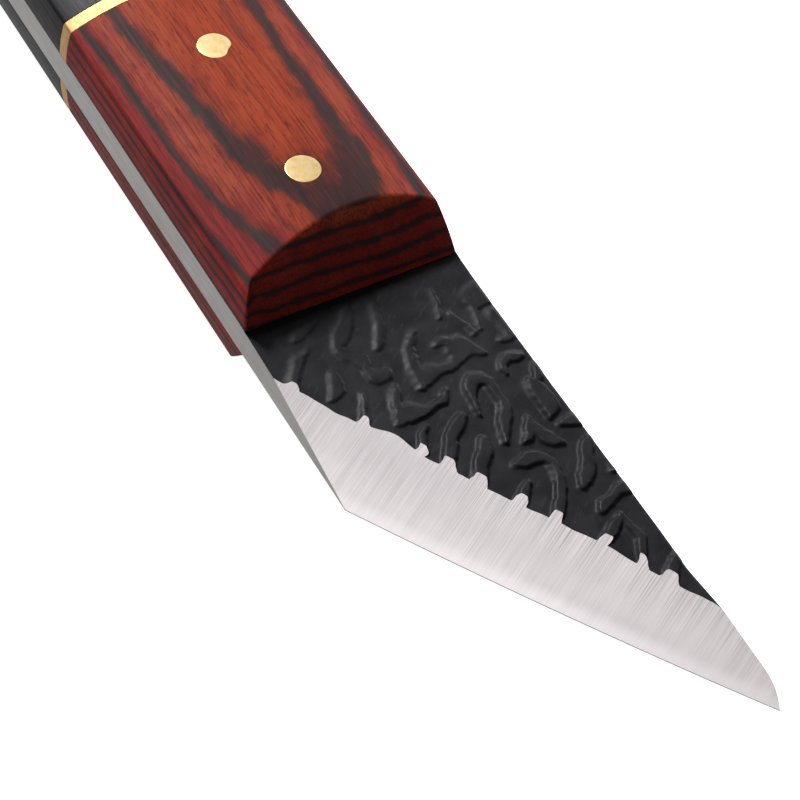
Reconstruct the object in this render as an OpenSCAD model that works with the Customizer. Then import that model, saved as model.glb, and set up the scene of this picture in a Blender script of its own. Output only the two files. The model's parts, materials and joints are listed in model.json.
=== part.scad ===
// Chip carving knife: a full-tang skew blade ground on one face, with riveted wooden scales.
// The knife lies on its lower scales, blade towards +X and cutting edge towards -Y.
// Inside the modules x = 0 is the front of the handle and z = 0 the middle of the tang.

/* [Blade] */
// Width of the steel bar, edge side to spine
bar_w = 26.5; // [24:0.5:32]
// Thickness of the steel bar
bar_t = 4; // [3:0.25:5]
// Distance from the handle to the heel of the cutting edge
heel_x = 22.2; // [18:0.2:30]
// Angle between the cutting edge and the length of the knife
skew = 34.1; // [30:0.1:40]
// How far the cutting edge bulges beyond a straight line
belly = 0.4; // [0.2:0.05:1]
// Angle of the single ground bevel to the flat back
bevel_angle = 22.2; // [20:0.2:32]
// How much the spine has spread near the tip
spine_flare = 1.1; // [0.2:0.1:1.4]
// How much thinner the blade is at the tip than at the handle
distal_taper = 0.5; // [0.1:0.05:1.2]
// Steel left at the very edge
edge_land = 0.15; // [0.1:0.05:0.4]

/* [Handle] */
// Length of the handle
handle_len = 112; // [100:1:130]
// Thickness of the handle at the middle of its crown
handle_t = 18.8; // [16:0.2:22]
// Radius of the crown across the handle
crown_r = 29; // [25:1:40]
// Radius of the slightly bulging sides
side_r = 17.6; // [16:0.2:24]
// Angle by which the front end of each scale leans back
front_lean = 36.5; // [10:0.5:40]
// Radius of the corners at the butt, seen from above
butt_corner_r = 6; // [3:0.5:10]
// Radius of the butt, seen from the side
butt_end_r = 15; // [13:0.5:25]

/* [Spacer] */
// Distance from the front of the handle to the brass spacer
spacer_x = 43.9; // [42:0.1:50]
// Thickness of the brass spacer
spacer_t = 1.9; // [1:0.1:3]

/* [Pins] */
// Diameter of the brass pins
pin_d = 4; // [3:0.5:5]
// Distance from the front of the handle to the first pin
pin_first = 12.3; // [10:0.1:14]
// Distance between the pins of a pair
pin_pitch = 20.7; // [16:0.1:21]
// Outer diameter of the lanyard tube
tube_d = 6; // [5:0.5:7]
// Diameter of the hole through the lanyard tube
tube_bore = 4.6; // [3.5:0.1:4.8]
// Distance from the butt to the lanyard tube
tube_inset = 12; // [10:0.5:16]

/* [Hidden] */

steel = "#8f8f92";
red_wood = "#a0402a";
black_wood = "#2e2d30";
brass = "#e3c47c";

// Facets of ordinary curves and of the very large arcs.
$fn = 144;
big_fn = 1440;
// Overlap that lets a cutter pass clear of the surface it cuts.
past = 1;

half_w = bar_w / 2;
half_t = bar_t / 2;
half_h = handle_t / 2;

// Cutting edge: a shallow arc from the heel to the tip.
tip_y = half_w + 0.3 * spine_flare;
edge_rise = tip_y + half_w;
tip_x = heel_x + edge_rise / tan(skew);
edge_chord = edge_rise / sin(skew);
edge_r = (edge_chord * edge_chord / 4 + belly * belly) / (2 * belly);
edge_mid = [(heel_x + tip_x) / 2, (tip_y - half_w) / 2];
edge_centre = edge_mid + (edge_r - belly) * [-sin(skew), cos(skew)];
edge_points = 24;

// Spine: straight, then slowly spreading, then an arc down to the tip.
flare_start = [tip_x - 16.5, half_w];
flare_end = [tip_x - 4, half_w + spine_flare];
flare_angle = atan2(flare_end[1] - flare_start[1], flare_end[0] - flare_start[0]);
nose_chord = [tip_x, tip_y] - flare_end;
nose_turn = 2 * (flare_angle - atan2(nose_chord[1], nose_chord[0]));
nose_r = norm(nose_chord) / (2 * sin(nose_turn / 2));
nose_centre = flare_end + nose_r * [sin(flare_angle), -cos(flare_angle)];
nose_points = 12;

// Places along the handle, measured from its front end.
spacer_front = -spacer_x;
spacer_back = -spacer_x - spacer_t;
pin_places = [
    -pin_first,
    -pin_first - pin_pitch,
    spacer_back - pin_first,
    spacer_back - pin_first - pin_pitch
];
tube_x = -handle_len + tube_inset;

// The middle of the overall length and width, and the height of the tang above the ground.
centre_x = (tip_x - handle_len) / 2;
nose_top = nose_centre[1] + nose_r;
centre_y = (nose_top - half_w) / 2;

// Points on an arc from angle a to angle b.
function arc(centre, r, a, b, steps) =
    [for (i = [0 : steps]) centre + r * [cos(a + (b - a) * i / steps), sin(a + (b - a) * i / steps)]];

// Direction of point p as seen from centre c.
function bearing(c, p) = atan2(p[1] - c[1], p[0] - c[0]);

// Puts the knife on the ground with the middle of its outline over the origin.
module placed() {
    translate([-centre_x, -centre_y, half_h]) children();
}

// Plan outline of the whole bar, butt to tip.
module bar_plan() {
    heel = [heel_x, -half_w];
    tip = [tip_x, tip_y];
    corner_x = -handle_len + butt_corner_r;
    corner_y = half_w - butt_corner_r;
    polygon(concat(
        arc([corner_x, -corner_y], butt_corner_r, 180, 270, 16),
        arc(edge_centre, edge_r, bearing(edge_centre, heel), bearing(edge_centre, tip), edge_points),
        arc(nose_centre, nose_r, bearing(nose_centre, tip), 90 + flare_angle, nose_points),
        [flare_start],
        arc([corner_x, corner_y], butt_corner_r, 90, 180, 16)
    ));
}

// The bevel is part of a very wide cone whose rim is the cutting edge.
module bevel_cone() {
    rise = bar_t - edge_land;
    translate([edge_centre[0], edge_centre[1], -half_t + edge_land])
        cylinder(h = rise + past, r1 = edge_r, r2 = edge_r - (rise + past) / tan(bevel_angle), $fn = big_fn);
    translate([edge_centre[0], edge_centre[1], -half_t - past])
        cylinder(h = edge_land + past, r = edge_r + past, $fn = big_fn);
}

// Everything above the upper face, which falls towards the tip from the front of the handle.
module above_taper() {
    translate([0, 0, half_t]) rotate([0, atan(distal_taper / tip_x), 0])
        translate([0, -bar_w, 0]) cube([2 * tip_x, 2 * bar_w, bar_t]);
}

// Holes for the four pins and for the lanyard tube.
module rivet_holes() {
    for (x = pin_places) {
        translate([x, 0, 0]) cylinder(d = pin_d, h = handle_t + 2 * past, center = true);
    }
    translate([tube_x, 0, 0]) cylinder(d = tube_d, h = handle_t + 2 * past, center = true);
}

module blade() {
    color(steel) difference() {
        intersection() {
            linear_extrude(bar_t, center = true) bar_plan();
            bevel_cone();
        }
        above_taper();
        rivet_holes();
    }
}

// Cross-section of the handle: two crowns and two bulging sides.
module handle_section() {
    intersection() {
        translate([0, half_h - crown_r]) circle(crown_r);
        translate([0, crown_r - half_h]) circle(crown_r);
        union() {
            intersection() {
                translate([half_w - side_r, half_t]) circle(side_r);
                translate([side_r - half_w, half_t]) circle(side_r);
                translate([-bar_w, half_t]) square([2 * bar_w, half_h]);
            }
            translate([-half_w, -half_t]) square([bar_w, bar_t]);
            intersection() {
                translate([half_w - side_r, -half_t]) circle(side_r);
                translate([side_r - half_w, -half_t]) circle(side_r);
                translate([-bar_w, -half_t - half_h]) square([2 * bar_w, half_h]);
            }
        }
    }
}

// Handle seen from the side: ends that lean back in front, and a round butt.
module handle_profile() {
    setback = (half_h - half_t) * tan(front_lean);
    butt_x = -handle_len + butt_end_r;
    translate([butt_x, 0]) circle(butt_end_r);
    polygon([
        [butt_x, -half_h], [-setback, -half_h], [0, -half_t],
        [0, half_t], [-setback, half_h], [butt_x, half_h]
    ]);
}

// The outer shape of the finished handle, before it is divided into pieces.
module handle_form() {
    intersection() {
        rotate([90, 0, 90]) linear_extrude(2 * handle_len, center = true) handle_section();
        rotate([90, 0, 0]) linear_extrude(2 * bar_w, center = true) handle_profile();
        linear_extrude(2 * handle_t, center = true) handle_plan();
    }
}

// Plan of the handle, which follows the tang and its rounded butt.
module handle_plan() {
    corner_x = -handle_len + butt_corner_r;
    translate([corner_x, -half_w]) square([past - corner_x, bar_w]);
    translate([-handle_len, butt_corner_r - half_w]) square([handle_len, bar_w - 2 * butt_corner_r]);
    for (side = [-1, 1]) {
        translate([corner_x, side * (half_w - butt_corner_r)]) circle(butt_corner_r);
    }
}

// One piece of the handle on one side of the tang, between two places along it.
// side is 1 for the upper piece and -1 for the lower one.
module handle_slice(from_x, to_x, side) {
    z0 = side > 0 ? half_t : -half_h - past;
    difference() {
        intersection() {
            handle_form();
            translate([from_x, -bar_w, z0]) cube([to_x - from_x, 2 * bar_w, half_h - half_t + past]);
        }
        rivet_holes();
    }
}

module front_scale(side) {
    color(red_wood) handle_slice(spacer_front, past, side);
}

module spacer(side) {
    color(brass) handle_slice(spacer_back, spacer_front, side);
}

module rear_scale(side) {
    color(black_wood) handle_slice(-handle_len - past, spacer_back, side);
}

// A brass rod through both scales and the tang, its ends ground flush with the crowns.
module rod(x, d) {
    intersection() {
        handle_form();
        translate([x, 0, 0]) cylinder(d = d, h = handle_t + 2 * past, center = true);
    }
}

module pin(n) {
    color(brass) rod(pin_places[n - 1], pin_d);
}

module lanyard_tube() {
    color(brass) difference() {
        rod(tube_x, tube_d);
        translate([tube_x, 0, 0]) cylinder(d = tube_bore, h = handle_t + 2 * past, center = true);
    }
}

placed() blade();
placed() front_scale(1);  // front_scale_upper
placed() front_scale(-1);  // front_scale_lower
placed() spacer(1);  // spacer_upper
placed() spacer(-1);  // spacer_lower
placed() rear_scale(1);  // rear_scale_upper
placed() rear_scale(-1);  // rear_scale_lower
placed() pin(1);  // pin_1
placed() pin(2);  // pin_2
placed() pin(3);  // pin_3
placed() pin(4);  // pin_4
placed() lanyard_tube();
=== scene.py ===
"""Chip carving knife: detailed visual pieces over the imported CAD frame, with camera and soft light.

Shapes are worked out in knife millimetres: x = 0 is the front of the handle, y = 0 its middle
and z = 0 the middle of the tang. placed() moves them to the CAD frame, in metres.
"""

import json
import math

import bmesh
import bpy
import numpy as np
from mathutils import Matrix, Vector


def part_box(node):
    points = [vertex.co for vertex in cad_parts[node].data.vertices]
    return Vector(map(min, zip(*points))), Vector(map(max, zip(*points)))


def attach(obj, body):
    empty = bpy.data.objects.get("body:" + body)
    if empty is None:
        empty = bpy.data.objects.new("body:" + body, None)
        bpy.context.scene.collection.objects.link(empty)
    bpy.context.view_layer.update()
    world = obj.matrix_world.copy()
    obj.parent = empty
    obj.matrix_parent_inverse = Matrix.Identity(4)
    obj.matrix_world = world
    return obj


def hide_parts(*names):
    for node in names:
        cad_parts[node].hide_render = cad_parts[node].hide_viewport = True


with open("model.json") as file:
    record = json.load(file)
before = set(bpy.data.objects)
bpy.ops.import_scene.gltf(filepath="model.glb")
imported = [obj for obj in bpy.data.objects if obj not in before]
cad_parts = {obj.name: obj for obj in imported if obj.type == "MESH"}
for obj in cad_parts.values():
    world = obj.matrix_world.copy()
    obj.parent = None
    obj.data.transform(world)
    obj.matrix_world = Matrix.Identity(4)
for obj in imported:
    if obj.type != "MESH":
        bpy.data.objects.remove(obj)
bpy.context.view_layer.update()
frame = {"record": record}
scene = bpy.context.scene

# ---------------------------------------------------------------- sizes, in mm

MM = 0.001
scale_lo, scale_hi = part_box("front_scale_upper")
blade_lo, blade_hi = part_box("blade")
spacer_lo, spacer_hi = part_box("spacer_upper")
ORIGIN = Vector((scale_hi.x, (scale_lo.y + scale_hi.y) / 2, (blade_lo.z + blade_hi.z) / 2)) / MM

HALF_W = (scale_hi.y - scale_lo.y) / 2 / MM
HALF_T = (blade_hi.z - blade_lo.z) / 2 / MM
HALF_H = scale_hi.z / MM - ORIGIN.z
BUTT_X = blade_lo.x / MM - ORIGIN.x
TIP_X = blade_hi.x / MM - ORIGIN.x
SPACER_FRONT = spacer_hi.x / MM - ORIGIN.x
SPACER_BACK = spacer_lo.x / MM - ORIGIN.x

# The same values as in the CAD source.
CROWN_R = 29.0
SIDE_R = 17.6
HEEL_X = 22.2
SKEW = math.radians(34.1)
BELLY = 0.4
BEVEL = math.radians(22.2)
FLARE = 1.1
TAPER = 0.5 / TIP_X
LAND = 0.15
BUTT_CORNER_R = 6.0
BUTT_END_R = 15.0


def middle(node):
    """The middle of a CAD node's box, in knife millimetres."""
    lo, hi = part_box(node)
    return (lo + hi) / 2 / MM - ORIGIN


def rod_size(node):
    """Radius of a CAD node that is an upright rod, in millimetres."""
    lo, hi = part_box(node)
    return (hi.x - lo.x) / 2 / MM


PIN_R = rod_size("pin_1")
TUBE_R = rod_size("lanyard_tube")
TUBE_BORE_R = frame["record"]["mounts"][0]["dims"]["r_mm"]


# ---------------------------------------------------------------- small helpers


def placed(points):
    """Knife millimetres to frame metres."""
    return (np.asarray(points, float) + np.array(ORIGIN)) * MM


def smooth(t):
    """Smoothstep of t, from 0 to 1."""
    t = np.clip(t, 0.0, 1.0)
    return t * t * (3 - 2 * t)


def wobble(x, y, size, seed):
    """Soft noise of about -1 to 1, whose bumps are about `size` across."""
    total = 0.0
    rng = np.random.RandomState(seed)
    for _ in range(7):
        turn, phase = rng.uniform(0, 2 * math.pi, 2)
        k = 2 * math.pi / (size * rng.uniform(1.2, 2.6))
        total = total + np.sin(k * (x * math.cos(turn) + y * math.sin(turn)) + phase)
    return total / 3.2


def new_object(name, verts, faces, materials, sharp=35.0, face_materials=None):
    """A smooth-shaded object from knife-millimetre vertices."""
    mesh = bpy.data.meshes.new(name)
    mesh.from_pydata(placed(verts).tolist(), [], faces)
    for material in materials:
        mesh.materials.append(material)
    if face_materials is not None:
        mesh.polygons.foreach_set("material_index", np.asarray(face_materials, np.int32))
    mesh.validate()
    mesh.update()
    finish_shading(mesh, sharp)
    obj = bpy.data.objects.new(name, mesh)
    scene.collection.objects.link(obj)
    return obj


def finish_shading(mesh, sharp):
    """Smooth shading, with edges steeper than `sharp` degrees left sharp."""
    mesh.shade_smooth()
    mesh.set_sharp_from_angle(angle=math.radians(sharp))


def outward(verts, faces):
    """The same faces, all turned so that their normals point out of the solid."""
    bm = bmesh.new()
    made = [bm.verts.new(v) for v in verts]
    for face in faces:
        corners = [made[i] for i in dict.fromkeys(face)]
        if len(corners) > 2:
            bm.faces.new(corners)
    bmesh.ops.remove_doubles(bm, verts=bm.verts, dist=1e-5)
    bmesh.ops.recalc_face_normals(bm, faces=bm.faces)
    bm.verts.index_update()
    out_verts = [tuple(v.co) for v in bm.verts]
    out_faces = [[v.index for v in f.verts] for f in bm.faces]
    bm.free()
    return out_verts, out_faces


# ---------------------------------------------------------------- handle outline


def crown(y):
    """Height of the crown above the middle of the tang."""
    return HALF_H - CROWN_R + np.sqrt(CROWN_R**2 - np.asarray(y, float) ** 2)


def side(z):
    """Half width of the handle at height z above the top of the tang."""
    return HALF_W - SIDE_R + np.sqrt(SIDE_R**2 - (np.abs(z) - HALF_T) ** 2)


def crease_height():
    """Where the side meets the crown."""
    z = HALF_T
    for _ in range(60):
        z = 0.5 * (z + float(crown(side(z))))
    return z


def section():
    """Upper half of the cross-section from the left tang edge over the crown to the right one."""
    crease_z = crease_height()
    crease_y = float(side(crease_z))
    fillet = 0.28
    # a tiny bevel where the wood meets the tang
    left = [(-HALF_W + 0.18, HALF_T), (-HALF_W + 0.05, HALF_T + 0.05)]
    for z in np.linspace(HALF_T + 0.12, crease_z - fillet, 12):
        left.append((-float(side(z)), float(z)))
    # a soft crease: a quadratic curve with the crease as its middle point
    a = (-float(side(crease_z - fillet)), crease_z - fillet)
    b = (-crease_y + fillet, float(crown(crease_y - fillet)))
    corner = (-crease_y, crease_z)
    for t in np.linspace(0, 1, 7)[1:-1]:
        p = [(1 - t) ** 2 * a[i] + 2 * t * (1 - t) * corner[i] + t * t * b[i] for i in (0, 1)]
        left.append(tuple(p))
    for y in np.linspace(-crease_y + fillet, 0, 25):
        left.append((float(y), float(crown(y))))
    right = [(-y, z) for y, z in reversed(left[:-1])]
    return np.array(left + right)


SECTION = section()


def half_disc(ring, steps, place):
    """Rings that shrink from a section ring to its middle; place(y, z) gives the point."""
    middle_z = HALF_T + 0.4 * (max(p[-1] for p in ring) - HALF_T)
    rings = []
    for s in steps:
        rings.append([place(s * p[-2], middle_z + s * (p[-1] - middle_z)) for p in ring])
    return rings


def skin(rings):
    """Vertices and faces between closed rings of equal length."""
    n = len(rings[0])
    verts = [tuple(p) for ring in rings for p in ring]
    faces = []
    for j in range(len(rings) - 1):
        for i in range(n):
            k = (i + 1) % n
            faces.append([j * n + i, j * n + k, (j + 1) * n + k, (j + 1) * n + i])
    return verts, faces


END_STEPS = [0.93, 0.86, 0.78, 0.7, 0.6, 0.5, 0.4, 0.3, 0.2, 0.1, 0.0]
# How far the front end leans back per mm of height, and what the dished one adds per mm across.
LEAN = 0.745
LEAN_ACROSS = 0.019
# The corner on the edge side is nearly upright: its lean, where it starts and its blend's width.
CORNER_LEAN, CORNER_Y, CORNER_BLEND = 0.12, -11.3, 2.0


def front_slope(y, dished):
    """Lean of the front end at y across the handle."""
    if not dished:
        return LEAN
    plane = LEAN + LEAN_ACROSS * y
    corner = smooth((CORNER_Y - y) / CORNER_BLEND)
    return plane * (1 - corner) + CORNER_LEAN * corner


def scale_mesh(back, dished=False):
    """Upper front scale from x = 0 to `back`; its front end leans back with a soft edge."""
    ring = SECTION
    y, z = ring[:, 0], ring[:, 1]
    end = -front_slope(y, dished) * (z - HALF_T)
    edge = 0.35
    rings = half_disc(ring, END_STEPS[::-1], lambda a, b: (back, a, b))
    rings.append([(back, a, b) for a, b in ring])
    for t in np.linspace(0, 1, 46)[1:]:
        x = back + (end - edge - back) * t
        rings.append(np.stack([x, y, z], 1))
    # the soft edge: from the sides and the crown round to the end face
    reach = np.hypot(y, z - HALF_T)
    shrink = 1 - edge / np.maximum(reach, 1.0)
    inner = np.stack([y * shrink, HALF_T + (z - HALF_T) * shrink], 1)
    inner_x = -front_slope(inner[:, 0], dished) * (inner[:, 1] - HALF_T)
    a = np.stack([end - edge, y, z], 1)
    c = np.stack([end, y, z], 1)
    b = np.stack([inner_x, inner[:, 0], inner[:, 1]], 1)
    for t in np.linspace(0, 1, 6)[1:]:
        rings.append((1 - t) ** 2 * a + 2 * t * (1 - t) * c + t * t * b)

    def on_end(a, b):
        return (float(-front_slope(a, dished) * (b - HALF_T)), a, b)

    rings += half_disc(inner, [0.96] + END_STEPS, on_end)
    return outward(*skin(rings))


def butt_half_width(x):
    """Half width of the handle in plan, which follows the rounded butt."""
    past = np.maximum(BUTT_X + BUTT_CORNER_R - x, 0)
    root = np.sqrt(np.maximum(BUTT_CORNER_R**2 - past**2, 0))
    return HALF_W - BUTT_CORNER_R + root


def butt_half_height(x):
    """Half height of the handle seen from the side, rounded where the crown meets the butt."""
    centre = BUTT_X + BUTT_END_R
    arc = np.sqrt(np.maximum(BUTT_END_R**2 - np.minimum(x - centre, 0) ** 2, 0))
    blend = 1.2
    gap = np.clip((arc - HALF_H) / blend, -1, 1)
    return np.minimum(arc, HALF_H) - blend / 4 * (1 - np.abs(gap)) ** 2


def rear_mesh(front, back):
    """Upper rear scale from the spacer to the rounded butt."""
    last = back + BUTT_END_R - math.sqrt(BUTT_END_R**2 - HALF_T**2)
    # rings are closer together where the butt turns down
    turn_x = back + 7.5
    straight = np.linspace(front, turn_x, 50)
    turn = np.linspace(0, math.pi / 2, 26)[1:]
    curved = turn_x + (last - turn_x) * np.sin(turn)
    ring = SECTION
    rings = half_disc(ring, END_STEPS[::-1], lambda a, b: (front, a, b))
    for x in list(straight) + list(curved):
        w = float(butt_half_width(x)) / HALF_W
        h = max((float(butt_half_height(x)) - HALF_T) / (HALF_H - HALF_T), 0.01)
        rings.append([(x, w * a, HALF_T + h * (b - HALF_T)) for a, b in ring])
    rings += half_disc(rings[-1], [0.8, 0.5, 0.2, 0.0], lambda a, b: (last, a, b))
    return outward(*skin(rings))


def spacer_mesh(front, back):
    """Upper spacer: the section with slightly broken edges."""
    ring = SECTION
    edge = 0.12
    shrink = 1 - edge / np.maximum(np.hypot(ring[:, 0], ring[:, 1] - HALF_T), 1.0)
    small = [(a * k, HALF_T + (b - HALF_T) * k) for (a, b), k in zip(ring, shrink)]
    rings = half_disc(small, END_STEPS[::-1], lambda a, b: (back, a, b))
    rings.append([(back, a, b) for a, b in small])
    for x in (back + edge, (front + back) / 2, front - edge):
        rings.append([(x, a, b) for a, b in ring])
    rings.append([(front, a, b) for a, b in small])
    rings += half_disc(small, END_STEPS, lambda a, b: (front, a, b))
    return outward(*skin(rings))


def lowered(verts, faces):
    """The same piece on the under side of the tang."""
    return [(x, y, -z) for x, y, z in verts], [f[::-1] for f in faces]


# ---------------------------------------------------------------- pins and tube


def rod_radius(angle, radius, notch):
    """Radius of a rod, which isn't quite round; notch is (angle, width, depth) or None."""
    r = radius + 0.025 * np.sin(2 * angle + 0.7) + 0.02 * np.sin(3 * angle + 2.0)
    if notch:
        off = np.angle(np.exp(1j * (angle - notch[0])))
        r = r - notch[2] * np.exp(-((off / notch[1]) ** 2))
    return r


def rod_mesh(x, y, radius, notch=None, grow=0.0, bore=0.0, past=0.0):
    """A rod through the handle: its ends follow the crowns. With `past` it is a straight cutter."""
    angle = np.linspace(0, 2 * math.pi, 97)[:-1]
    outer = rod_radius(angle, radius, notch) + grow
    soft = 0.07
    shares = [] if bore else [0.0, 0.15, 0.3, 0.5, 0.7, 0.85, 0.95]

    def loop(r, drop, flip):
        """A ring of points of radius r, `drop` below the crown; flip is -1 on the under side."""
        px, py = x + r * np.cos(angle), y + r * np.sin(angle)
        pz = crown(py) - drop if not past else np.full_like(py, HALF_H + past)
        return np.stack([px, py, flip * pz], 1)

    def end_loops(flip):
        """The rings of one end, from its middle or its bore out to the rod's side."""
        made = [loop(outer * s, 0.0, flip) for s in shares]
        if bore:
            made.append(loop(np.full_like(outer, bore), 0.35, flip))
            made.append(loop(np.full_like(outer, bore + 0.08), 0.1, flip))
            made.append(loop(np.full_like(outer, bore + 0.25), 0.0, flip))
        if not past:
            made.append(loop(outer - soft, 0.0, flip))
            made.append(loop(outer - soft * 0.3, soft * 0.3, flip))
            made.append(loop(outer, soft, flip))
        else:
            made.append(loop(outer, 0.0, flip))
        return made

    loops = end_loops(1) + end_loops(-1)[::-1]
    if bore:
        loops.append(loops[0])
    return outward(*skin(loops))


# ---------------------------------------------------------------- blade

# The cutting edge is an arc from the heel to the tip.
tip_y = HALF_W + 0.3 * FLARE
edge_rise = tip_y + HALF_W
edge_chord = edge_rise / math.sin(SKEW)
EDGE_R = (edge_chord**2 / 4 + BELLY**2) / (2 * BELLY)
EDGE_X = (HEEL_X + TIP_X) / 2 - (EDGE_R - BELLY) * math.sin(SKEW)
EDGE_Y = (tip_y - HALF_W) / 2 + (EDGE_R - BELLY) * math.cos(SKEW)

# The spine spreads between two places, then an arc takes it down to the tip.
flare_a = (TIP_X - 16.5, HALF_W)
flare_b = (TIP_X - 4, HALF_W + FLARE)
flare_angle = math.atan2(flare_b[1] - flare_a[1], flare_b[0] - flare_a[0])
nose_dx, nose_dy = TIP_X - flare_b[0], tip_y - flare_b[1]
nose_turn = 2 * (flare_angle - math.atan2(nose_dy, nose_dx))
NOSE_R = math.hypot(nose_dx, nose_dy) / (2 * math.sin(nose_turn / 2))
NOSE_X = flare_b[0] + NOSE_R * math.sin(flare_angle)
NOSE_Y = flare_b[1] - NOSE_R * math.cos(flare_angle)


def edge_y(x):
    """Plan of the cutting edge and the straight side behind its heel."""
    arc = EDGE_Y - np.sqrt(np.maximum(EDGE_R**2 - (x - EDGE_X) ** 2, 0))
    return np.where(x < HEEL_X, -HALF_W, np.minimum(arc, tip_y))


def spine_y(x):
    """Plan of the spine: straight, flared, then the nose arc."""
    flare = HALF_W + FLARE * np.clip((x - flare_a[0]) / (flare_b[0] - flare_a[0]), 0, 1)
    nose = NOSE_Y + np.sqrt(np.maximum(NOSE_R**2 - (x - NOSE_X) ** 2, 0))
    return np.where(x > flare_b[0], nose, flare)


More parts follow.
